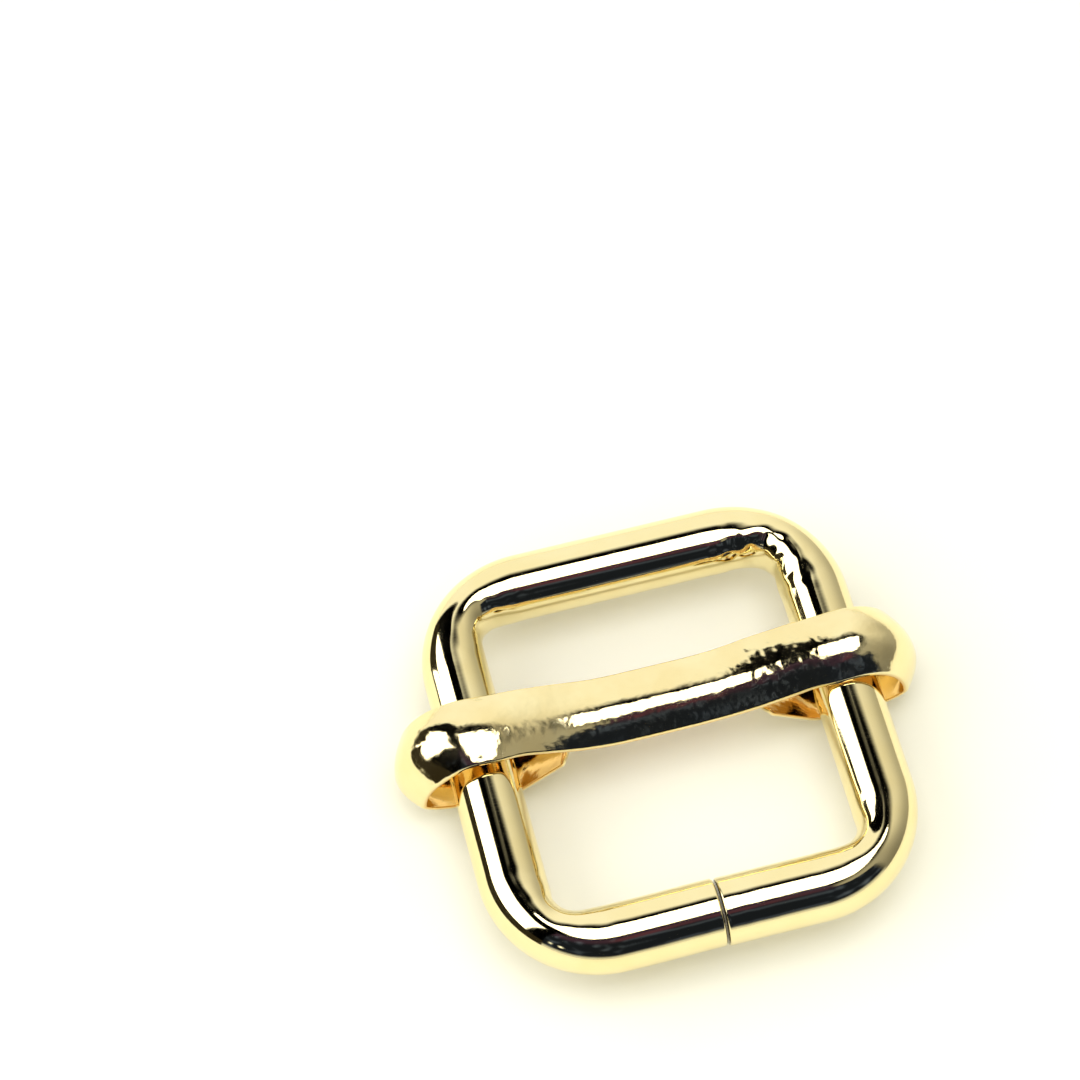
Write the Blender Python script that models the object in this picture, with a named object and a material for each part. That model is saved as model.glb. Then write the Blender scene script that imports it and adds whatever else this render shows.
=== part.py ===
"""Slide buckle for a 20 mm strap: a bent wire frame, and a pressed bar that slides along its two rails.

Metres, +Z up. The wire frame lies flat, +X runs along the bar, and +Y is the way the bar slides. The origin is
at the middle of the frame, on the surface that the bar's two loops stand on.
"""

from math import cos, pi, radians, sin

import bmesh
import bpy
from mathutils import Matrix, Vector

MM = 0.001

# Wire frame
INNER_WIDTH = 20.0 * MM  # between the rails, across the strap
INNER_LENGTH = 21.6 * MM  # along the strap
WIRE_DIAMETER = 4.4 * MM
CORNER_RADIUS = 5.65 * MM  # of the wire's centre line
SEAM_GAP = 0.25 * MM  # between the wire's two cut ends
END_CHAMFER = 0.15 * MM  # on those ends
WIRE_SIDES = 24
CORNER_STEPS = 9

# Slide bar, pressed from one strip
STRIP_WIDTH = 4.9 * MM
CROWN_OUTSIDE = 0.9 * MM  # how far the strip's long edges curl in from its middle line
CROWN_INSIDE = 0.75 * MM
STRIP_THICKNESS = 0.65 * MM  # on the middle line
LOOP_HALF_HEIGHT = 3.9 * MM  # from the wire's centre to the loop's outside, above and below
SHOULDER_X = 12.0 * MM  # where the span ends and the loop's round begins
REACH_X = 17.5 * MM  # the loop's outermost point
SIDE_DROP = 1.2 * MM  # how far that point lies below the wire's centre
SPAN_DIP = 1.8 * MM  # how far the middle of the span lies below its shoulders
SPAN_SHAPE = 1.5  # over 1 flattens the middle of the dip and steepens its sides
FOOT_START_X = 12.2 * MM  # the loop is flat underneath between these two
FOOT_END_X = 11.2 * MM
TAIL_ANGLE = radians(38.0)  # the tail's slope, up towards the span
TAIL_LENGTH = 3.6 * MM
REST_Y = 1.95 * MM  # where the bar stands on the rails at rest

# Facets
SPAN_STEPS = 14
ROUND_STEPS = 10
CURL_STEPS = 5
TAIL_STEPS = 2
CROWN_STEPS = 7  # odd, so that a flat facet runs along the strip's middle line

RAIL_X = (INNER_WIDTH + WIRE_DIAMETER) / 2
END_Y = (INNER_LENGTH + WIRE_DIAMETER) / 2
WIRE_Z = LOOP_HALF_HEIGHT  # height of the wire's centre line


def clear_scene():
    for obj in list(bpy.data.objects):
        bpy.data.objects.remove(obj, do_unlink=True)


def plated_metal(name, colour, roughness):
    material = bpy.data.materials.new(name)
    material.use_nodes = True
    shader = material.node_tree.nodes["Principled BSDF"]
    shader.inputs["Base Color"].default_value = (*colour, 1.0)
    shader.inputs["Metallic"].default_value = 1.0
    shader.inputs["Roughness"].default_value = roughness
    return material


def add_object(name, bm, material, location, parent):
    """A smooth-shaded mesh object with its facets' corners kept sharp, hung on its parent."""
    bmesh.ops.recalc_face_normals(bm, faces=bm.faces)
    mesh = bpy.data.meshes.new(name)
    bm.to_mesh(mesh)
    bm.free()
    mesh.shade_smooth()
    mesh.set_sharp_from_angle(angle=radians(40.0))
    mesh.materials.append(material)
    obj = bpy.data.objects.new(name, mesh)
    bpy.context.collection.objects.link(obj)
    obj.parent = parent
    obj.location = location
    return obj


def add_body(name, location, parent=None):
    """An empty that carries one rigid body."""
    empty = bpy.data.objects.new(name, None)
    bpy.context.collection.objects.link(empty)
    empty.parent = parent
    empty.location = location
    return empty


def extrude_edges(bm, edges, offset):
    made = bmesh.ops.extrude_edge_only(bm, edges=edges)["geom"]
    moved = [item for item in made if isinstance(item, bmesh.types.BMVert)]
    bmesh.ops.translate(bm, vec=offset, verts=moved)
    return [item for item in made if isinstance(item, bmesh.types.BMEdge)]


def wire_ring(bm, radius, x):
    """An open ring of the wire's section in the plane X = x, on the centre line of the near side."""
    half_step = pi / WIRE_SIDES
    turn = Matrix.Rotation(pi / 2, 4, "Y") @ Matrix.Rotation(half_step, 4, "Z")
    place = Matrix.Translation((x, -END_Y, 0.0)) @ turn
    made = bmesh.ops.create_circle(bm, segments=WIRE_SIDES, radius=radius, matrix=place)
    return list({edge for vert in made["verts"] for edge in vert.link_edges})


def end_cap(bm, ring, towards_x):
    """Closes one cut end with a small chamfer and a flat face."""
    tip = extrude_edges(bm, ring, Vector((towards_x * END_CHAMFER, 0.0, 0.0)))
    verts = list({vert for edge in tip for vert in edge.verts})
    centre = sum((vert.co for vert in verts), Vector()) / len(verts)
    shrink = 1.0 - 2.0 * END_CHAMFER / WIRE_DIAMETER
    bmesh.ops.scale(bm, vec=(shrink,) * 3, space=Matrix.Translation(-centre), verts=verts)
    bmesh.ops.contextual_create(bm, geom=tip)


def frame_wire_mesh():
    """The wire from its cut end right of the seam, round the four corners, to the end left of it."""
    bm = bmesh.new()
    start_x = SEAM_GAP / 2 + END_CHAMFER
    first = wire_ring(bm, WIRE_DIAMETER / 2, start_x)
    ring = first
    straight_x = RAIL_X - CORNER_RADIUS
    straight_y = END_Y - CORNER_RADIUS
    runs = (
        (Vector((straight_x - start_x, 0.0, 0.0)), Vector((straight_x, -straight_y, 0.0))),
        (Vector((0.0, 2 * straight_y, 0.0)), Vector((straight_x, straight_y, 0.0))),
        (Vector((-2 * straight_x, 0.0, 0.0)), Vector((-straight_x, straight_y, 0.0))),
        (Vector((0.0, -2 * straight_y, 0.0)), Vector((-straight_x, -straight_y, 0.0))),
    )
    for run, corner in runs:
        ring = extrude_edges(bm, ring, run)
        made = bmesh.ops.spin(
            bm, geom=ring, cent=corner, axis=(0.0, 0.0, 1.0), angle=pi / 2, steps=CORNER_STEPS
        )
        ring = [item for item in made["geom_last"] if isinstance(item, bmesh.types.BMEdge)]
    ring = extrude_edges(bm, ring, Vector((straight_x - start_x, 0.0, 0.0)))
    end_cap(bm, first, -1.0)
    end_cap(bm, ring, 1.0)
    return bm


def span_height(x):
    """Height of the strip's outer middle line over the wire's centre, between the shoulders."""
    phase = pi * (x / SHOULDER_X) ** SPAN_SHAPE
    return LOOP_HALF_HEIGHT - SPAN_DIP * (1.0 + cos(phase)) / 2


def half_outline():
    """The strip's outer middle line in X and Z, from the middle of the span to the tip of one tail."""
    upper_height = LOOP_HALF_HEIGHT + SIDE_DROP
    lower_height = LOOP_HALF_HEIGHT - SIDE_DROP
    line = []
    for i in range(SPAN_STEPS):
        x = SHOULDER_X * i / SPAN_STEPS
        line.append((x, span_height(x)))
    for i in range(ROUND_STEPS):
        angle = pi / 2 * i / ROUND_STEPS
        line.append((SHOULDER_X + (REACH_X - SHOULDER_X) * sin(angle), upper_height * cos(angle) - SIDE_DROP))
    for i in range(ROUND_STEPS + 1):
        angle = pi / 2 * i / ROUND_STEPS
        line.append((FOOT_START_X + (REACH_X - FOOT_START_X) * cos(angle), -lower_height * sin(angle) - SIDE_DROP))
    for i in range(CURL_STEPS + 1):
        angle = TAIL_ANGLE * i / CURL_STEPS
        line.append((FOOT_END_X - LOOP_HALF_HEIGHT * sin(angle), -LOOP_HALF_HEIGHT * cos(angle)))
    bend_x, bend_z = line[-1]
    for i in range(1, TAIL_STEPS + 1):
        run = TAIL_LENGTH * i / TAIL_STEPS
        line.append((bend_x - run * cos(TAIL_ANGLE), bend_z + run * sin(TAIL_ANGLE)))
    return line


def whole_outline():
    right = [Vector((x, 0.0, z)) for x, z in half_outline()]
    left = [Vector((-point.x, 0.0, point.z)) for point in reversed(right[1:])]
    return left + right


def outward_normals(line):
    """Normals of the outline in the XZ plane, pointing away from the wire."""
    normals = []
    for i in range(len(line)):
        before = line[max(i - 1, 0)]
        after = line[min(i + 1, len(line) - 1)]
        along = (after - before).normalized()
        normals.append(Vector((-along.z, 0.0, along.x)))
    return normals


def strip_section():
    """Points (y, depth) round the strip's section. Depth is measured inwards from the middle of its outside."""
    across = [-1.0 + 2.0 * i / CROWN_STEPS for i in range(CROWN_STEPS + 1)]
    outside = [(s * STRIP_WIDTH / 2, CROWN_OUTSIDE * s * s) for s in across]
    inside = [(s * STRIP_WIDTH / 2, STRIP_THICKNESS + CROWN_INSIDE * s * s) for s in reversed(across)]
    # The facet on the middle line lies at depth 0, so that the loops stand on it.
    lift = CROWN_OUTSIDE / CROWN_STEPS**2
    return [(y, max(depth - lift, 0.0)) for y, depth in outside] + inside


def slide_bar_mesh():
    bm = bmesh.new()
    line = whole_outline()
    section = strip_section()
    rows = []
    for point, normal in zip(line, outward_normals(line)):
        rows.append([bm.verts.new(point - normal * depth + Vector((0.0, y, 0.0))) for y, depth in section])
    count = len(section)
    for row, following in zip(rows, rows[1:]):
        for j in range(count):
            k = (j + 1) % count
            bm.faces.new((row[j], row[k], following[k], following[j]))
    bm.faces.new(rows[0])
    bm.faces.new(reversed(rows[-1]))
    bmesh.ops.triangulate(bm, faces=[face for face in bm.faces if len(face.verts) > 4])
    return bm


def build():
    clear_scene()
    frame = add_body("frame_body", (0.0, 0.0, WIRE_Z))
    slider = add_body("slider_body", (0.0, REST_Y, 0.0), frame)
    wire_gold = plated_metal("wire_gold", (0.83, 0.68, 0.42), 0.08)
    strip_gold = plated_metal("strip_gold", (0.85, 0.69, 0.41), 0.14)
    add_object("frame_wire", frame_wire_mesh(), wire_gold, (0.0, 0.0, 0.0), frame)
    add_object("slide_bar", slide_bar_mesh(), strip_gold, (0.0, 0.0, 0.0), slider)
    bpy.context.view_layer.update()


build()
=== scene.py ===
"""Looks of the slide buckle: a polished gold-plated wire frame and its pressed bar, lying on a white table.

Metres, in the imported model's own axes: +X along the bar, +Y the way the bar slides, +Z up.
"""

from math import ceil, cos, pi, radians, sin

import bpy
import numpy as np
from mathutils import Matrix, Vector, noise


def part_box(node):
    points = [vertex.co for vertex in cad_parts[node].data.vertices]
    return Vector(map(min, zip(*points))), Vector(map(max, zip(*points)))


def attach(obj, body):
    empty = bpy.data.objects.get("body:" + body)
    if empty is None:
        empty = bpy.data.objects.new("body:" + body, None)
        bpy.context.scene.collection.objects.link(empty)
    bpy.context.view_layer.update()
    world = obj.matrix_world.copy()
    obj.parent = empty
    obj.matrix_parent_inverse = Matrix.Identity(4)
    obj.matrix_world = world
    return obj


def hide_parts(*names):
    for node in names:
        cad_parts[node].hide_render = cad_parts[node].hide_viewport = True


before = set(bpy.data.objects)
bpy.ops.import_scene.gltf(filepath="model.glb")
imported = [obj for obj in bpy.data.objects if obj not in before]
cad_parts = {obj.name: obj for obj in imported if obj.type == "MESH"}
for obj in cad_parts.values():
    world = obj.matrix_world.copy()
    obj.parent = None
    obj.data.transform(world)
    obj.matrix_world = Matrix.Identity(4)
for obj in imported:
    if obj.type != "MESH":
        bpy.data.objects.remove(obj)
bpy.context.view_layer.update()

MM = 0.001

# Wire frame, with the sizes that its box alone doesn't give
WIRE_RADIUS = 2.2 * MM
CORNER_RADIUS = 5.65 * MM  # of the wire's centre line
INNER_FILLET = 1.5 * MM  # bending squeezes the inside of each corner tighter than a true round
SEAM_GAP = 0.15 * MM
LIP_RADIUS = 0.15 * MM  # rounding of the two cut ends
LIP_STEPS = 7
FACE_STEPS = 6
END_MISMATCH = (0.0, 0.07 * MM, -0.05 * MM)  # how far the left end stands off the right one
MISMATCH_LENGTH = 5.0 * MM
WIRE_STEP = 0.13 * MM
WIRE_SIDES = 112

# Relief on the wire, each as height and distance between features
DRAWN_WAVE = (0.0035 * MM, 3.5 * MM)
DRAWN_GRAIN = (0.0008 * MM, 0.9 * MM)
SEAM_DENTS = (0.006 * MM, 0.9 * MM)
SEAM_DENTS_FADE = (2.5 * MM, 6.5 * MM)  # distances from the seam between which the dents fade out

WRINKLE_SPACING = 0.95 * MM
FOLD_SPACING = 1.25 * MM
FOLD_LENGTH = 3.2 * MM
FOLD_SHARE = 1.3  # strength of the long folds, as a share of the fine wrinkles between them
CORNER_FADE = (-0.8 * MM, 1.2 * MM)  # from where a corner's round begins: the folds grow between these two
# Depth of the folds in the corner on each side in X and Y
FOLD_DEPTHS = {(1, 1): 0.080 * MM, (-1, -1): 0.030 * MM, (1, -1): 0.020 * MM, (-1, 1): 0.020 * MM}

# Slide bar
CROWN_TILT = 0.75  # radians, which the crown's slope approaches towards both long edges
CROWN_REACH = 1.5 * MM  # how far from the middle line the slope has nearly done so
FAR_CROWN = 0.74  # the far half's crown, as a share of the near half's
SPAN_FLATTENING = 0.25  # share of its crown that the far half loses on the whole span
BEND_FLATTENING = 0.28  # and further where the span slopes
LEFT_FLATTENING = 0.47  # share of its crown that the near half loses at the left end of the span
STRIP_THICKNESS = 0.65 * MM
EDGE_THINNING = 0.33 * MM
NEAR_NARROWING = 0.10  # share of its width that the near half loses on the span
SHOULDER_X = 12.9 * MM
LEFT_STRETCH = 0.05  # share by which the left loop is pressed wider than the right one
SIDE_DROP = 1.2 * MM  # how far the loop's outermost point lies below the wire's centre
SPAN_DIP = 1.84 * MM
SPAN_SHAPE = 1.58  # over 1 flattens the middle of the dip and steepens its sides
FOOT_START_X = 12.2 * MM
FOOT_END_X = 11.2 * MM
TAIL_ANGLE = radians(38.0)
TAIL_LENGTH = 3.6 * MM
RIM_ROUNDING = 0.06 * MM
BAR_STEP = 0.075 * MM
SECTION_POINTS = 128
SECTION_STEP = 0.01 * MM  # between the points that the rims are rounded with
TURN_WEIGHT = 0.09 * MM  # length that one radian of turning counts for, where the section's points are spread
TIP_TAPER = 0.14  # share of its width that the strip loses at the tails' tips
TIP_TAPER_LENGTH = 0.45 * MM

# Places along X. Each pair is where something begins to grow or fade, and where it has finished.
SPAN_END = (9.0 * MM, 11.5 * MM)
SLOPE = ((3.0 * MM, 7.0 * MM), (7.0 * MM, 10.5 * MM))
LEFT_FLAT = ((2.8 * MM, 9.6 * MM), (12.5 * MM, 16.0 * MM))
RIGHT_SHOULDER = ((4.0 * MM, 7.0 * MM), (10.5 * MM, 12.5 * MM))

# Orange peel: height, distance between features, seed, and how much stronger it is on the right shoulder
PEEL_LAYERS = (
    (0.0090 * MM, 1.3 * MM, 11, 0.0),
    (0.0085 * MM, 0.5 * MM, 12, 0.9),
    (0.0040 * MM, 0.24 * MM, 13, 0.6),
)
BEND_MARKS = (0.003 * MM, 0.5 * MM)  # height and spacing of the marks across the strip's inside

# Tones of the plating and the table, with a painted shade for the wire's cut ends and painted reflected light
# for the strip's inside
SCRATCH_DEPTH = 0.0006 * MM
WIRE_PALE, WIRE_WARM = (0.890, 0.787, 0.455), (0.872, 0.758, 0.412)
STRIP_PALE, STRIP_WARM = (0.905, 0.800, 0.465), (0.875, 0.742, 0.395)
CUT_FACE_SHADE = (0.10, 0.075, 0.05)  # bare metal, darkened to near black as painted shade so the seam gap between the cut ends looks dark
# Painted reflected light: deep amber standing in for light bounced between the gold faces inside the strip
STRIP_INSIDE_BOUNCE = (0.82, 0.52, 0.17)
TABLE_TONES = ((0.3, (0.86, 0.865, 0.805)), (0.7, (0.89, 0.895, 0.835)))

# Studio, in metres
ROOM_RADIUS = 1.6
WHITE = 3.2  # glow of the window and of the panel overhead
LOW_DARK = (0.030, 0.024, 0.014, 1.0)  # glow of the dark boards that stand low on the left
LOW_BOARD_X = -0.120
# Each board's near and far end in Y, and its top
LOW_BOARDS = {"low_dark_near": (-0.090, 0.057, 0.043), "low_dark_far": (0.068, 0.150, 0.064)}
AMBIENCE = (1.0, 0.960, 0.82, 1.0)
AMBIENCE_STRENGTH = 0.96

wire_low, wire_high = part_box("frame_wire")
bar_low, bar_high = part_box("slide_bar")
wire_half = (wire_high.z - wire_low.z) / 2
RAIL_X = (wire_high.x - wire_low.x) / 2 - wire_half
END_Y = (wire_high.y - wire_low.y) / 2 - wire_half
WIRE_Z = (wire_high.z + wire_low.z) / 2
BAR_Y = (bar_high.y + bar_low.y) / 2
STRIP_WIDTH = bar_high.y - bar_low.y
REACH_X = (bar_high.x - bar_low.x) / 2
LOOP_HALF_HEIGHT = (bar_high.z - bar_low.z) / 2


# Node helpers

def new_material(name):
    material = bpy.data.materials.new(name)
    material.use_nodes = True
    return material, material.node_tree.nodes, material.node_tree.links


def noise_node(nodes, links, vector, scale, detail=4.0, roughness=0.55, distortion=0.0):
    node = nodes.new("ShaderNodeTexNoise")
    node.inputs["Scale"].default_value = scale
    node.inputs["Detail"].default_value = detail
    node.inputs["Roughness"].default_value = roughness
    node.inputs["Distortion"].default_value = distortion
    links.new(vector, node.inputs["Vector"])
    return node


def ramp_node(nodes, links, factor, stops):
    """A colour ramp through (position, colour) stops."""
    node = nodes.new("ShaderNodeValToRGB")
    elements = node.color_ramp.elements
    while len(elements) > 1:
        elements.remove(elements[-1])
    elements[0].position = stops[0][0]
    elements[0].color = (*stops[0][1], 1.0)
    for position, colour in stops[1:]:
        elements.new(position).color = (*colour, 1.0)
    links.new(factor, node.inputs["Fac"])
    return node


def range_node(nodes, links, value, low, high, from_low=0.0, from_high=1.0):
    node = nodes.new("ShaderNodeMapRange")
    node.inputs["From Min"].default_value = from_low
    node.inputs["From Max"].default_value = from_high
    node.inputs["To Min"].default_value = low
    node.inputs["To Max"].default_value = high
    links.new(value, node.inputs["Value"])
    return node


def bump_node(nodes, links, height, distance, strength=1.0, normal=None):
    node = nodes.new("ShaderNodeBump")
    node.inputs["Strength"].default_value = strength
    node.inputs["Distance"].default_value = distance
    links.new(height, node.inputs["Height"])
    if normal is not None:
        links.new(normal, node.inputs["Normal"])
    return node


def plated_gold(name, pale, warm, rough_low, rough_high, grain_scale, grain_depth, inner):
    """Light gold plating: patchy tone, patchy polish, faint scratches and a fine grain.

    Where the mesh's attribute called inner is 1, the tone is the one given as inner: painted shade on the
    wire's cut ends, painted reflected light on the strip's inside.
    """
    material, nodes, links = new_material(name)
    shader = nodes["Principled BSDF"]
    shader.inputs["Metallic"].default_value = 1.0
    place = nodes.new("ShaderNodeTexCoord").outputs["Object"]

    tone = noise_node(nodes, links, place, 260.0, detail=3.0)
    colour = ramp_node(nodes, links, tone.outputs["Fac"], ((0.36, warm), (0.62, pale)))
    # Painted light and shade: where the attribute inner is 1, the colour becomes the painted inner tone.
    share = nodes.new("ShaderNodeAttribute")
    share.attribute_name = "inner"
    mix = nodes.new("ShaderNodeMix")
    mix.data_type = "RGBA"
    links.new(share.outputs["Fac"], mix.inputs["Factor"])
    links.new(colour.outputs["Color"], mix.inputs["A"])
    mix.inputs["B"].default_value = (*inner, 1.0)
    links.new(mix.outputs["Result"], shader.inputs["Base Color"])

    polish = noise_node(nodes, links, place, 900.0, detail=5.0, roughness=0.65)
    roughness = range_node(nodes, links, polish.outputs["Fac"], rough_low, rough_high, 0.38, 0.66)
    links.new(roughness.outputs["Result"], shader.inputs["Roughness"])

    stretch = nodes.new("ShaderNodeMapping")
    stretch.inputs["Rotation"].default_value = (0.0, 0.0, radians(24.0))
    stretch.inputs["Scale"].default_value = (1.0, 14.0, 1.0)
    links.new(place, stretch.inputs["Vector"])
    scratches = noise_node(nodes, links, stretch.outputs["Vector"], 700.0, detail=2.0)
    grain = noise_node(nodes, links, place, grain_scale, detail=3.0, roughness=0.6)
    first = bump_node(nodes, links, scratches.outputs["Fac"], SCRATCH_DEPTH)
    second = bump_node(nodes, links, grain.outputs["Fac"], grain_depth, normal=first.outputs["Normal"])
    links.new(second.outputs["Normal"], shader.inputs["Normal"])
    return material


def paper_white():
    material, nodes, links = new_material("table_white")
    shader = nodes["Principled BSDF"]
    shader.inputs["Roughness"].default_value = 0.85
    shader.inputs["Specular IOR Level"].default_value = 0.2
    place = nodes.new("ShaderNodeTexCoord").outputs["Object"]
    tone = noise_node(nodes, links, place, 18.0, detail=3.0)
    colour = ramp_node(nodes, links, tone.outputs["Fac"], TABLE_TONES)
    links.new(colour.outputs["Color"], shader.inputs["Base Color"])
    return material


# Mesh helpers

def grid_mesh(name, rows, caps):
    """A tube through rows of points, each row a closed ring, with flat caps at both ends if asked for."""
    count, around = rows.shape[:2]
    index = np.arange(count * around).reshape(count, around)
    first = index[:-1]
    second = index[1:]
    quads = np.stack([first, np.roll(first, -1, 1), np.roll(second, -1, 1), second], -1).reshape(-1, 4)
    faces = quads.tolist()
    if caps:
        faces.append(index[0][::-1].tolist())
        faces.append(index[-1].tolist())
    mesh = bpy.data.meshes.new(name)
    mesh.from_pydata(rows.reshape(-1, 3).tolist(), [], faces)
    mesh.update()
    mesh.shade_smooth()
    return mesh


def add_piece(name, mesh, material):
    mesh.materials.append(material)
    piece = bpy.data.objects.new(name, mesh)
    bpy.context.collection.objects.link(piece)
    return piece


def paint_inner_shade_and_bounce(mesh, shares):
    """Stores how far each vertex takes the material's inner tone, which is painted shade on the wire and
    painted reflected light on the strip. shares has the shape of the mesh's rows.
    """
    attribute = mesh.attributes.new("inner", "FLOAT", "POINT")
    attribute.data.foreach_set("value", shares.astype(np.float32).reshape(-1))


def smooth_step(value, low, high):
    t = np.clip((value - low) / (high - low), 0.0, 1.0)
    return t * t * (3.0 - 2.0 * t)


def smooth_hump(value, rise, fall):
    """0, rising to 1 between the two values of rise, and falling to 0 again between those of fall."""
    return smooth_step(value, *rise) * (1.0 - smooth_step(value, *fall))


def noise_field(points, wavelength, seed):
    """Smooth noise of about -1 to 1 at each point, for features about one wavelength apart."""
    shift = Vector((seed * 7.31, seed * 3.17, seed * 5.73))
    scaled = points.reshape(-1, 3) / wavelength
    values = [noise.noise(Vector(point) + shift) for point in scaled.tolist()]
    return np.array(values).reshape(points.shape[:-1])


def push_along(rows, normals, amount):
    return rows + normals * amount[..., None]


# Wire frame

def wire_path():
    """Centre line from the cut end right of the seam to the left one: its points and outward directions."""
    sx = RAIL_X - CORNER_RADIUS
    sy = END_Y - CORNER_RADIUS
    start = SEAM_GAP / 2 + LIP_RADIUS
    runs = (
        ((start, -END_Y), (sx, -END_Y), -90.0, (sx, -sy)),
        ((RAIL_X, -sy), (RAIL_X, sy), 0.0, (sx, sy)),
        ((sx, END_Y), (-sx, END_Y), 90.0, (-sx, sy)),
        ((-RAIL_X, sy), (-RAIL_X, -sy), 180.0, (-sx, -sy)),
        ((-sx, -END_Y), (-start, -END_Y), 270.0, None),
    )
    points, outwards = [], []
    for begin, end, facing, corner in runs:
        begin, end = np.array(begin), np.array(end)
        steps = ceil(np.linalg.norm(end - begin) / WIRE_STEP)
        out = np.array((cos(radians(facing)), sin(radians(facing))))
        last = steps + 1 if corner is None else steps
        for i in range(last):
            points.append(begin + (end - begin) * i / steps)
            outwards.append(out)
        if corner is None:
            break
        steps = ceil(CORNER_RADIUS * pi / 2 / WIRE_STEP)
        for i in range(steps):
            angle = radians(facing) + pi / 2 * i / steps
            out = np.array((cos(angle), sin(angle)))
            points.append(np.array(corner) + CORNER_RADIUS * out)
            outwards.append(out)
    return np.array(points), np.array(outwards)


def wire_mesh():
    points, outwards = wire_path()
    theta = np.arange(WIRE_SIDES) * 2 * pi / WIRE_SIDES
    count = len(points)
    out3 = np.concatenate([outwards, np.zeros((count, 1))], 1)
    centre = np.concatenate([points, np.full((count, 1), WIRE_Z)], 1)
    up = np.array((0.0, 0.0, 1.0))
    normals = out3[:, None, :] * np.cos(theta)[None, :, None] + up * np.sin(theta)[None, :, None]
    rows = centre[:, None, :] + normals * WIRE_RADIUS
    rows = push_along(rows, normals, wire_relief(rows, normals, out3))
    rows = tight_corners(rows)
    left = smooth_step(np.arange(count) * WIRE_STEP, count * WIRE_STEP - MISMATCH_LENGTH, count * WIRE_STEP)
    offset = left[:, None] * np.array(END_MISMATCH)
    rows = rows + offset[:, None, :]
    centre = centre + offset
    first_end = cut_end(rows[0], centre[0], -1.0)
    last_end = cut_end(rows[-1], centre[-1], 1.0)
    rows = np.concatenate([first_end[::-1], rows, last_end])
    mesh = grid_mesh("wire_frame_polished", rows[:, ::-1], caps=True)
    # Painted shade: the cut ends take a near-black tone so the seam gap between them looks dark.
    paint_inner_shade_and_bounce(mesh, cut_shade_share(len(rows))[:, None] * np.ones(WIRE_SIDES))
    return mesh


def cut_shade_share(count):
    """1 on the two bare cut faces, whose tone is a painted shade, fading to 0 over the rounding of their
    edges, for each row of the wire.
    """
    row = np.arange(count)
    from_tip = np.minimum(row, count - 1 - row)
    return 1.0 - smooth_step(from_tip, FACE_STEPS, FACE_STEPS + 0.6 * LIP_STEPS)


def tight_corners(rows):
    """Moves the inside of each bend out to a smaller fillet, and what is further out by less."""
    inner = CORNER_RADIUS - WIRE_RADIUS
    outer = CORNER_RADIUS + WIRE_RADIUS
    centre = inner - INNER_FILLET
    moved = rows.copy()
    for side in ((1, 1), (-1, 1), (-1, -1), (1, -1)):
        corner = np.array(side) * (RAIL_X - CORNER_RADIUS, END_Y - CORNER_RADIUS)
        local = (rows[..., :2] - corner) * side
        within = (local > 0.0).all(-1)
        phi = np.clip(np.arctan2(local[..., 1], local[..., 0]), 0.0, pi / 2)
        rho = np.hypot(local[..., 0], local[..., 1])
        straight = inner / np.maximum(np.cos(phi), np.sin(phi))
        reach = np.maximum(INNER_FILLET**2 - centre**2 * (1.0 - np.sin(2.0 * phi)), 0.0)
        fillet = centre * (np.cos(phi) + np.sin(phi)) + np.sqrt(reach)
        on_fillet = straight * np.minimum(np.cos(phi), np.sin(phi)) > centre
        squeezed = np.where(on_fillet, fillet, straight)
        share = np.clip((outer - rho) / (outer - inner), 0.0, 1.0)
        stretch = 1.0 + (squeezed - inner) * share / np.maximum(rho, inner)
        spread = local * stretch[..., None] * side + corner
        moved[..., :2] = np.where(within[..., None], spread, moved[..., :2])
    return moved


def wire_relief(rows, normals, out3):
    """Slight waviness of the drawn wire, dents by the seam, and the folds on the inside of each corner."""
    relief = DRAWN_WAVE[0] * noise_field(rows, DRAWN_WAVE[1], 1)
    relief += DRAWN_GRAIN[0] * noise_field(rows, DRAWN_GRAIN[1], 2)
    from_seam = np.hypot(rows[..., 0], rows[..., 1] + END_Y)
    dents = SEAM_DENTS[0] * noise_field(rows, SEAM_DENTS[1], 4)
    relief += dents * (1.0 - smooth_step(from_seam, *SEAM_DENTS_FADE))
    inside = smooth_step(-(normals * out3[:, None, :]).sum(-1), -0.5, 0.6)
    along = np.arange(len(rows)) * WIRE_STEP / FOLD_SPACING
    around = np.arange(WIRE_SIDES) * 2 * pi * WIRE_RADIUS / WIRE_SIDES / FOLD_LENGTH
    folds = [[noise.noise(Vector((a, b, 6.5))) for b in around.tolist()] for a in along.tolist()]
    wrinkle = noise_field(rows, WRINKLE_SPACING, 3) + FOLD_SHARE * np.array(folds)
    for side, depth in FOLD_DEPTHS.items():
        corner = np.array(side) * (RAIL_X - CORNER_RADIUS, END_Y - CORNER_RADIUS)
        reach = (rows[..., :2] - corner) * side
        in_corner = smooth_step(reach[..., 0], *CORNER_FADE) * smooth_step(reach[..., 1], *CORNER_FADE)
        relief += depth * wrinkle * in_corner * inside
    return relief


def cut_end(ring, centre, along_x):
    """Rows that round the wire's end over and close it with a nearly flat face."""
    rows = []
    arm = ring - centre
    for i in range(1, LIP_STEPS + 1):
        angle = pi / 2 * i / LIP_STEPS
        shrink = 1.0 - LIP_RADIUS * (1.0 - cos(angle)) / WIRE_RADIUS
        rows.append(centre + arm * shrink + np.array((along_x * LIP_RADIUS * sin(angle), 0.0, 0.0)))
    edge = 1.0 - LIP_RADIUS / WIRE_RADIUS
    for i in range(1, FACE_STEPS + 1):
        shrink = edge * (1.0 - i / (FACE_STEPS + 0.3))
        rows.append(centre + arm * shrink + np.array((along_x * LIP_RADIUS, 0.0, 0.0)))
    return np.array(rows)


# Slide bar

def span_height(x):
    """Height of the strip's outer middle line over the wire's centre, between the shoulders."""
    return LOOP_HALF_HEIGHT - SPAN_DIP * (1.0 + cos(pi * (x / SHOULDER_X) ** SPAN_SHAPE)) / 2


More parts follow.
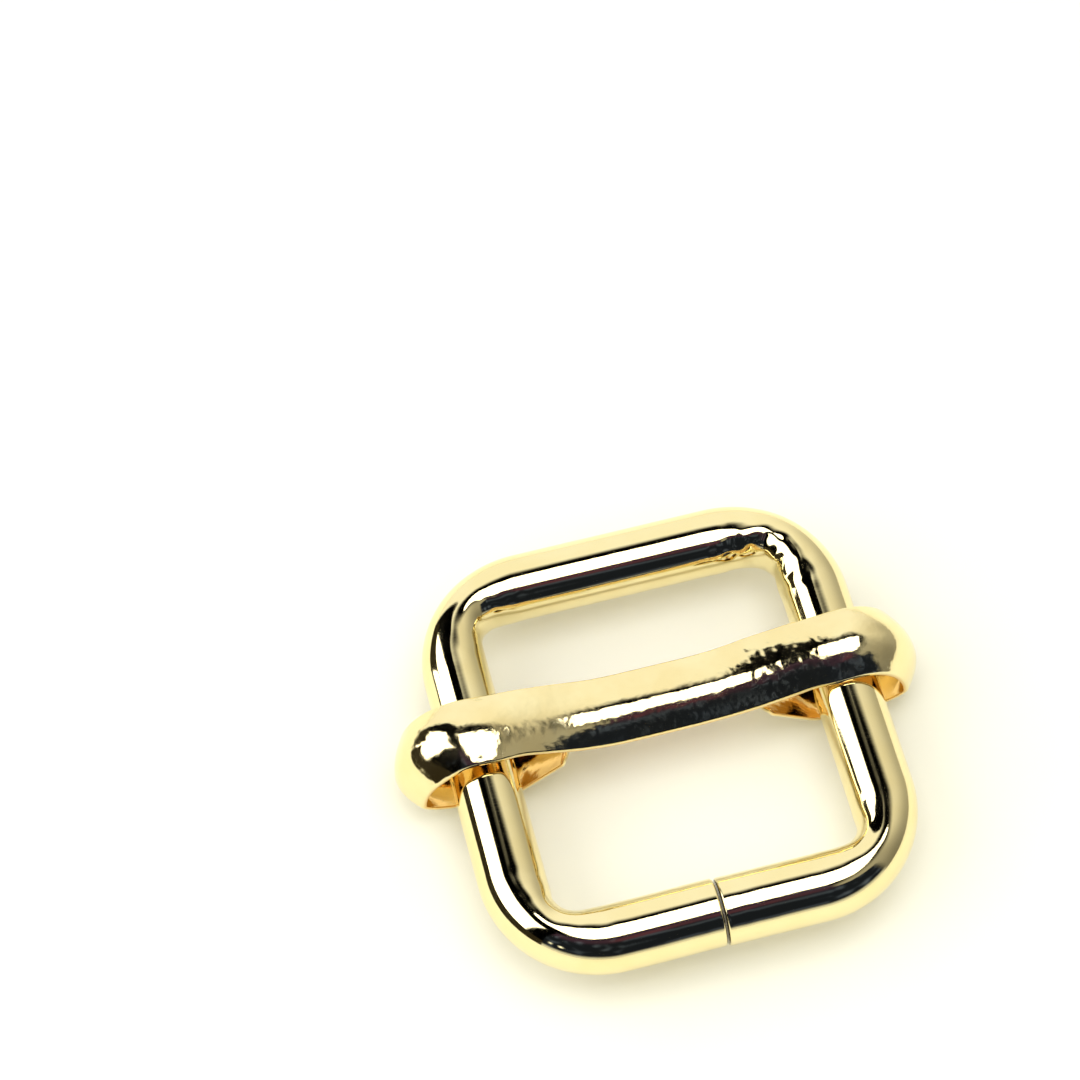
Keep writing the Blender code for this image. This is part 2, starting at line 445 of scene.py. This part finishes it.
def half_outline():
    """The strip's outer middle line in X and Z from the wire's centre, from mid-span to one tail's tip."""
    fine = 60
    upper_height = LOOP_HALF_HEIGHT + SIDE_DROP
    lower_height = LOOP_HALF_HEIGHT - SIDE_DROP
    line = []
    for i in range(fine):
        x = SHOULDER_X * i / fine
        line.append((x, span_height(x)))
    for i in range(fine):
        angle = pi / 2 * i / fine
        x = SHOULDER_X + (REACH_X - SHOULDER_X) * sin(angle)
        line.append((x, upper_height * cos(angle) - SIDE_DROP))
    for i in range(fine + 1):
        angle = pi / 2 * i / fine
        x = FOOT_START_X + (REACH_X - FOOT_START_X) * cos(angle)
        line.append((x, -lower_height * sin(angle) - SIDE_DROP))
    for i in range(fine // 2 + 1):
        angle = TAIL_ANGLE * 2 * i / fine
        line.append((FOOT_END_X - LOOP_HALF_HEIGHT * sin(angle), -LOOP_HALF_HEIGHT * cos(angle)))
    bend_x, bend_z = line[-1]
    line.append((bend_x - TAIL_LENGTH * cos(TAIL_ANGLE), bend_z + TAIL_LENGTH * sin(TAIL_ANGLE)))
    return np.array(line)


def even_steps(line, step):
    """The line again, with points about one step apart, and each point's distance along it."""
    lengths = np.concatenate([[0.0], np.cumsum(np.linalg.norm(np.diff(line, axis=0), axis=1))])
    wanted = np.linspace(0.0, lengths[-1], ceil(lengths[-1] / step) + 1)
    return np.stack([np.interp(wanted, lengths, line[:, axis]) for axis in range(line.shape[1])], 1), wanted


def smoothed(values, width):
    """A running average of the values along the first axis, with the ends kept."""
    kernel = np.hanning(2 * width + 1)
    kernel /= kernel.sum()
    padded = np.pad(values, ((width, width), (0, 0)), mode="edge")
    return np.stack([np.convolve(padded[:, axis], kernel, "valid") for axis in range(values.shape[1])], 1)


def crown_depth(y):
    """How far the strip's outside has curled in at y, from its middle line."""
    fine = np.linspace(0.0, STRIP_WIDTH, 400)
    slopes = np.tan(CROWN_TILT * np.tanh(fine / CROWN_REACH))
    depths = np.concatenate([[0.0], np.cumsum((slopes[1:] + slopes[:-1]) / 2 * fine[1])])
    return np.interp(np.abs(y), fine, depths) * np.where(y > 0.0, FAR_CROWN, 1.0)


def thickness(y):
    return STRIP_THICKNESS - EDGE_THINNING * (2 * y / STRIP_WIDTH) ** 2


def bar_section():
    """Closed ring of (y, depth) round the strip's section, its four long edges rounded over."""
    y = np.linspace(-STRIP_WIDTH / 2, STRIP_WIDTH / 2, 200)
    outside = np.stack([y, crown_depth(y)], 1)
    inside = np.stack([y, crown_depth(y) + thickness(y)], 1)[::-1]
    ring = np.concatenate([outside, inside, outside[:1]])
    ring, _ = even_steps(ring, SECTION_STEP)
    ring = ring[:-1]
    width = int(RIM_ROUNDING * 2 / SECTION_STEP)
    wrapped = np.concatenate([ring[-3 * width:], ring, ring[:3 * width]])
    ring = smoothed(wrapped, width)[3 * width:-3 * width]
    return resample_ring(ring)


def resample_ring(ring):
    """The ring with fewer points, closer together where it curves."""
    closed = np.concatenate([ring, ring[:1]])
    steps = np.diff(closed, axis=0)
    lengths = np.linalg.norm(steps, axis=1)
    headings = np.unwrap(np.arctan2(steps[:, 1], steps[:, 0]))
    turns = round((headings[-1] - headings[0]) / (2 * pi))
    turning = np.abs(np.diff(np.append(headings, headings[0] + 2 * pi * turns)))
    weight = np.concatenate([[0.0], np.cumsum(lengths + TURN_WEIGHT * turning)])
    wanted = np.linspace(0.0, weight[-1], SECTION_POINTS + 1)[:-1]
    return np.stack([np.interp(wanted, weight, closed[:, axis]) for axis in range(2)], 1)


def bar_mesh():
    right = half_outline()
    stretched = right[:, 0] + LEFT_STRETCH * np.maximum(right[:, 0] - SHOULDER_X, 0.0)
    left = np.stack([-stretched, right[:, 1]], 1)[:0:-1]
    whole = np.concatenate([left, right])
    line, along = even_steps(whole, BAR_STEP)
    line = smoothed(line, 5)
    heading = np.gradient(line, axis=0)
    heading /= np.linalg.norm(heading, axis=1, keepdims=True)
    outward = np.stack([-heading[:, 1], heading[:, 0]], 1)
    section = bar_section()
    ends = np.minimum(along, along[-1] - along)
    taper = 1.0 - TIP_TAPER * (1.0 - np.clip(ends / TIP_TAPER_LENGTH, 0.0, 1.0)) ** 2
    narrower, flatter = span_change(line, section)
    y = (section[:, 0] + narrower) * taper[:, None]
    depth = section[:, 1] + flatter
    x = line[:, None, 0] - outward[:, None, 0] * depth
    z = line[:, None, 1] - outward[:, None, 1] * depth
    rows = np.stack([x, y + BAR_Y, z + WIRE_Z], -1)
    inside = inner_share(section)
    rows = push_along(rows, ring_normals(rows), bar_relief(rows, inside, along))
    mesh = grid_mesh("slide_bar_polished", rows, caps=True)
    # Painted reflected light: the strip's inside takes the amber tone of light bounced between its gold
    # faces.
    paint_inner_shade_and_bounce(mesh, inside * np.ones((len(rows), 1)))
    return mesh


def span_change(line, section):
    """How the span changes the strip's section, in y and in depth. The right loop keeps it as it is."""
    out = np.abs(line[:, :1])
    above = line[:, 1:] > 0.0
    on_span = (1.0 - smooth_step(out, *SPAN_END)) * above
    bent = smooth_hump(out, *SLOPE) * above
    left_bend = smooth_hump(-line[:, :1], *LEFT_FLAT) * above
    far = section[:, 0] > 0.0
    narrower = NEAR_NARROWING * on_span * np.minimum(section[:, 0], 0.0)
    far_share = SPAN_FLATTENING * on_span + BEND_FLATTENING * bent
    flatter = (far_share * far + LEFT_FLATTENING * left_bend * ~far) * crown_depth(section[:, 0])
    return -narrower, -flatter


def ring_normals(rows):
    across = np.roll(rows, -1, 1) - np.roll(rows, 1, 1)
    length = np.gradient(rows, axis=0)
    normals = np.cross(across, length)
    return -normals / np.linalg.norm(normals, axis=-1, keepdims=True)


def inner_share(section):
    """0 on the strip's outside and 1 on its inside, for each point of its section."""
    middle = crown_depth(section[:, 0]) + thickness(section[:, 0]) / 2
    return smooth_step(section[:, 1] - middle, -0.1 * MM, 0.1 * MM)


def bar_relief(rows, inside, along):
    """Orange peel on the strip's outside, coarser on the right shoulder, and bending marks on its inside."""
    shoulder = smooth_hump(rows[..., 0], *RIGHT_SHOULDER)
    peel = np.zeros(rows.shape[:2])
    for height, spacing, seed, extra in PEEL_LAYERS:
        peel += height * noise_field(rows, spacing, seed) * (1.0 + extra * shoulder)
    marks = np.array([noise.noise(Vector((s / BEND_MARKS[1], 0.0, 4.0))) for s in along.tolist()])
    return peel * (1.0 - inside) + (BEND_MARKS[0] * marks[:, None] + 0.5 * peel) * inside


# Studio

def add_stage(name, mesh, material):
    stage = add_piece(name, mesh, material)
    return stage


def flat_disc(name, radius):
    sides = 96
    angles = [2 * pi * i / sides for i in range(sides)]
    mesh = bpy.data.meshes.new(name)
    mesh.from_pydata([(radius * cos(a), radius * sin(a), 0.0) for a in angles], [], [list(range(sides))])
    return mesh


def glow_material(name, colour, strength):
    material, nodes, links = new_material(name)
    nodes.remove(nodes["Principled BSDF"])
    glow = nodes.new("ShaderNodeEmission")
    glow.inputs["Color"].default_value = (*colour, 1.0)
    glow.inputs["Strength"].default_value = strength
    links.new(glow.outputs["Emission"], nodes["Material Output"].inputs["Surface"])
    return material


def graded_glow(name):
    """Emission whose colour is the mesh's own attribute called shade."""
    material, nodes, links = new_material(name)
    nodes.remove(nodes["Principled BSDF"])
    glow = nodes.new("ShaderNodeEmission")
    shade = nodes.new("ShaderNodeAttribute")
    shade.attribute_name = "shade"
    links.new(shade.outputs["Color"], glow.inputs["Color"])
    links.new(glow.outputs["Emission"], nodes["Material Output"].inputs["Surface"])
    return material


def shaded_card(name, verts, faces, colours):
    """A card that only reflections see. It glows with one colour for each vertex."""
    mesh = bpy.data.meshes.new(name)
    mesh.from_pydata(verts, [], faces)
    attribute = mesh.color_attributes.new("shade", "FLOAT_COLOR", "POINT")
    attribute.data.foreach_set("color", np.array(colours, np.float32).reshape(-1))
    card = add_stage(name, mesh, graded_glow(name + "_glow"))
    card.visible_camera = False
    card.visible_diffuse = False
    card.visible_shadow = False


def sky_card(name, bearings, heights, distance, shade):
    """A curved card round the buckle, coloured by shade(bearing, height). Bearing 0 is +Y, and 90 is +X."""
    across, up = 120, 60
    verts, colours = [], []
    for j in range(up + 1):
        height = heights[0] + (heights[1] - heights[0]) * j / up
        for i in range(across + 1):
            bearing = bearings[0] + (bearings[1] - bearings[0]) * i / across
            flat = cos(radians(height)) * distance
            level = distance * sin(radians(height)) + WIRE_Z
            verts.append((flat * sin(radians(bearing)), flat * cos(radians(bearing)), level))
            colours.append((*shade(bearing, height), 1.0))
    faces = []
    for j in range(up):
        for i in range(across):
            a = j * (across + 1) + i
            faces.append((a, a + 1, a + across + 2, a + across + 1))
    shaded_card(name, verts, faces, colours)


def overhead_card(name, low, high, height, corner, radiance):
    """A level white panel with rounded corners."""
    verts = []
    for side_x, side_y, first in ((1, 1, 0), (-1, 1, 90), (-1, -1, 180), (1, -1, 270)):
        cx = high[0] - corner if side_x > 0 else low[0] + corner
        cy = high[1] - corner if side_y > 0 else low[1] + corner
        for i in range(13):
            angle = radians(first + 90 * i / 12)
            verts.append((cx + corner * cos(angle), cy + corner * sin(angle), height))
    colours = [(radiance, radiance, radiance, 1.0)] * len(verts)
    shaded_card(name, verts, [list(range(len(verts)))], colours)


def panel_light(name, radiance, centre, size, toward):
    """A soft light of the given size that reflections don't see."""
    data = bpy.data.lights.new(name, "AREA")
    data.shape = "RECTANGLE"
    data.size, data.size_y = size
    data.energy = radiance * pi * size[0] * size[1]
    light = bpy.data.objects.new(name, data)
    bpy.context.collection.objects.link(light)
    light.location = centre
    light.rotation_euler = Vector(toward).to_track_quat("-Z", "Y").to_euler()
    light.visible_camera = False
    light.visible_glossy = False


def blend(value, low, high):
    t = min(max((value - low) / (high - low), 0.0), 1.0)
    return t * t * (3.0 - 2.0 * t)


def hump(value, middle, half_width):
    return 1.0 - blend(abs(value - middle), 0.0, half_width)


def sweep_edge(height):
    """Bearing of the white sweep's slanted left edge."""
    return -38.0 + 30.0 * height / 58.0


def far_shade(bearing, height):
    """White sweep behind the buckle, warmer and dimmer to the right, and the dark room beyond its end."""
    side = 0.51 + 0.36 * blend(height, 4.0, 50.0)
    turn = blend(bearing, 18.0, 62.0)
    level = 1.13 * (1.0 - turn) + side * turn
    level *= 1.0 - 0.52 * blend(bearing, 66.0, 116.0)
    right = 129.0 + 26.0 * blend(height, 42.0, 54.0)
    beyond = blend(bearing, right - 4.0, right + 4.0)
    edge = sweep_edge(height)
    level *= blend(bearing, edge - 1.0, edge + 1.0)
    top = 62.0 - 4.0 * blend(bearing, -5.0, 22.0)
    level *= 1.0 - blend(height, top - 6.5, top + 6.5)
    level += 0.12 * hump(bearing, -9.0, 20.0) * hump(height, 66.5, 3.5)
    warmth = blend(bearing, 10.0, 60.0)
    sweep = (level, level * (0.985 - 0.035 * warmth), level * (0.93 - 0.11 * warmth))
    front = front_shade(bearing, height)
    return tuple(sweep[i] * (1.0 - beyond) + front[i] * beyond for i in range(3))


def window_shade(bearing, height):
    """White window on the left, its right edge slanted, its top lower towards the right."""
    top = 53.0 + 10.0 * blend(-bearing, 42.0, 72.0) - 22.0 * blend(bearing, -44.0, -26.0)
    edge = sweep_edge(height) - 3.0
    level = WHITE * (1.0 - blend(bearing, edge - 1.0, edge + 1.0)) * blend(bearing, -111.0, -107.0)
    level *= blend(height, 4.0, 7.0) * (1.0 - blend(height, top - 2.0, top + 2.0))
    return level, level, level


def front_shade(bearing, height):
    """The dark room on the near side: faint blue-grey patches, plum towards the top, white at its foot."""
    patch = max(noise.noise(Vector((bearing / 7.0, height / 13.0, 2.0))), 0.0)
    plum = 0.040 * hump(height, 60.0, 14.0)
    red = 0.060 * hump(height, 57.0, 7.0) * hump(bearing, 172.0, 15.0)
    base = 0.014 + 0.16 * patch**1.3
    glint = 2.0 * hump(height, 21.0, 5.0) * (hump(bearing, 219.0, 3.0) + 0.8 * hump(bearing, 228.0, 2.5))
    white = glint + 0.8 * (1.0 - blend(height, 1.0, 11.0))
    return (base * 0.72 + plum + red + white, base * 0.95 + 0.35 * plum + 0.2 * red + white,
            base * 1.7 + 0.9 * plum + 0.2 * red + white * 0.95)


def build_studio():
    """The table, the room and what the polish reflects. Bearings and heights are in degrees."""
    add_stage("table_top", flat_disc("table_top", ROOM_RADIUS), paper_white())
    room_glow = glow_material("room_glow", (0.93, 0.93, 0.92), 1.0)
    dome = add_stage("pale_room", dome_mesh("room", ROOM_RADIUS), room_glow)
    dome.visible_diffuse = False
    dome.visible_glossy = False
    dome.visible_shadow = False
    sky_card("far_sweep", (-42.0, 172.0), (0.0, 72.0), 0.30, far_shade)
    sky_card("left_window", (-126.0, -8.0), (3.0, 66.0), 0.35, window_shade)
    for name, (near, far, top) in LOW_BOARDS.items():
        corners = [(LOW_BOARD_X, y, z) for y, z in ((near, 0.0), (far, 0.0), (far, top), (near, top))]
        shaded_card(name, corners, [(0, 1, 2, 3)], [LOW_DARK] * 4)
    sky_card("dark_front", (165.0, 240.0), (0.0, 68.0), 0.45, front_shade)
    overhead_card("overhead_white", (-0.038, -0.068), (0.077, 0.044), WIRE_Z + 0.165, 0.018, WHITE)
    panel_light("overhead_light", 2.4, (0.020, -0.010, 0.19), (0.14, 0.12), (0.0, 0.0, -1.0))
    panel_light("window_light", 1.3, (-0.25, 0.094, 0.27), (0.477, 0.40), (1.0, 0.0, 0.0))
    world = bpy.data.worlds.new("ambience")
    world.use_nodes = True
    world.node_tree.nodes["Background"].inputs["Color"].default_value = AMBIENCE
    world.node_tree.nodes["Background"].inputs["Strength"].default_value = AMBIENCE_STRENGTH
    world.cycles_visibility.glossy = False
    bpy.context.scene.world = world


def dome_mesh(name, radius):
    """A hemisphere of the given radius, open below."""
    around, up = 64, 24
    verts = [(0.0, 0.0, radius)]
    for j in range(up):
        height = pi / 2 * j / up
        for i in range(around):
            bearing = 2 * pi * i / around
            flat = radius * cos(height)
            verts.append((flat * cos(bearing), flat * sin(bearing), radius * sin(height)))
    faces = []
    for j in range(up - 1):
        for i in range(around):
            a = 1 + j * around + i
            b = 1 + j * around + (i + 1) % around
            faces.append((a, b, b + around, a + around))
    top = 1 + (up - 1) * around
    for i in range(around):
        faces.append((top + i, top + (i + 1) % around, 0))
    mesh = bpy.data.meshes.new(name)
    mesh.from_pydata(verts, [], faces)
    return mesh


# Camera

CAMERA_BEARING = radians(-10.856)
CAMERA_HEIGHT = radians(60.630)
CAMERA_ROLL = radians(-3.805)
CAMERA_DISTANCE = 228.645 * MM
CAMERA_OFFSET = (-8.207 * MM, 12.588 * MM)  # sideways and up, which puts the buckle low and to the right
CAMERA_LENS = 117.33  # mm, on a sensor 36 mm wide


def build_camera():
    """Looks down on the middle of the wire frame from the near side."""
    flat = cos(CAMERA_HEIGHT)
    back = Vector((sin(CAMERA_BEARING) * flat, -cos(CAMERA_BEARING) * flat, sin(CAMERA_HEIGHT)))
    level = Vector((cos(CAMERA_BEARING), sin(CAMERA_BEARING), 0.0))
    upright = back.cross(level)
    right = cos(CAMERA_ROLL) * level + sin(CAMERA_ROLL) * upright
    up = cos(CAMERA_ROLL) * upright - sin(CAMERA_ROLL) * level
    centred = Vector((0.0, 0.0, WIRE_Z)) + CAMERA_DISTANCE * back
    place = centred + CAMERA_OFFSET[0] * right + CAMERA_OFFSET[1] * up
    data = bpy.data.cameras.new("camera")
    data.lens = CAMERA_LENS
    data.sensor_width = 36.0
    data.clip_start = 0.005
    data.clip_end = 10.0
    camera = bpy.data.objects.new("camera", data)
    bpy.context.collection.objects.link(camera)
    camera.matrix_world = Matrix.Translation(place) @ Matrix((right, up, back)).transposed().to_4x4()
    bpy.context.scene.camera = camera


def build_buckle():
    # Both inner tones are painted: shade on the wire's cut ends, reflected light inside the strip.
    wire_gold = plated_gold(
        "wire_gold_polished", WIRE_PALE, WIRE_WARM, 0.04, 0.08, 5200.0, 0.0009 * MM, inner=CUT_FACE_SHADE
    )
    strip_gold = plated_gold(
        "strip_gold_pressed", STRIP_PALE, STRIP_WARM, 0.06, 0.12, 6200.0, 0.0030 * MM, inner=STRIP_INSIDE_BOUNCE
    )
    wire = add_piece("wire_frame_polished", wire_mesh(), wire_gold)
    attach(wire, "frame")
    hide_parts("frame_wire")
    bar = add_piece("slide_bar_polished", bar_mesh(), strip_gold)
    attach(bar, "slider")
    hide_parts("slide_bar")


build_buckle()
build_studio()
build_camera()
bpy.context.scene.view_settings.view_transform = "Standard"
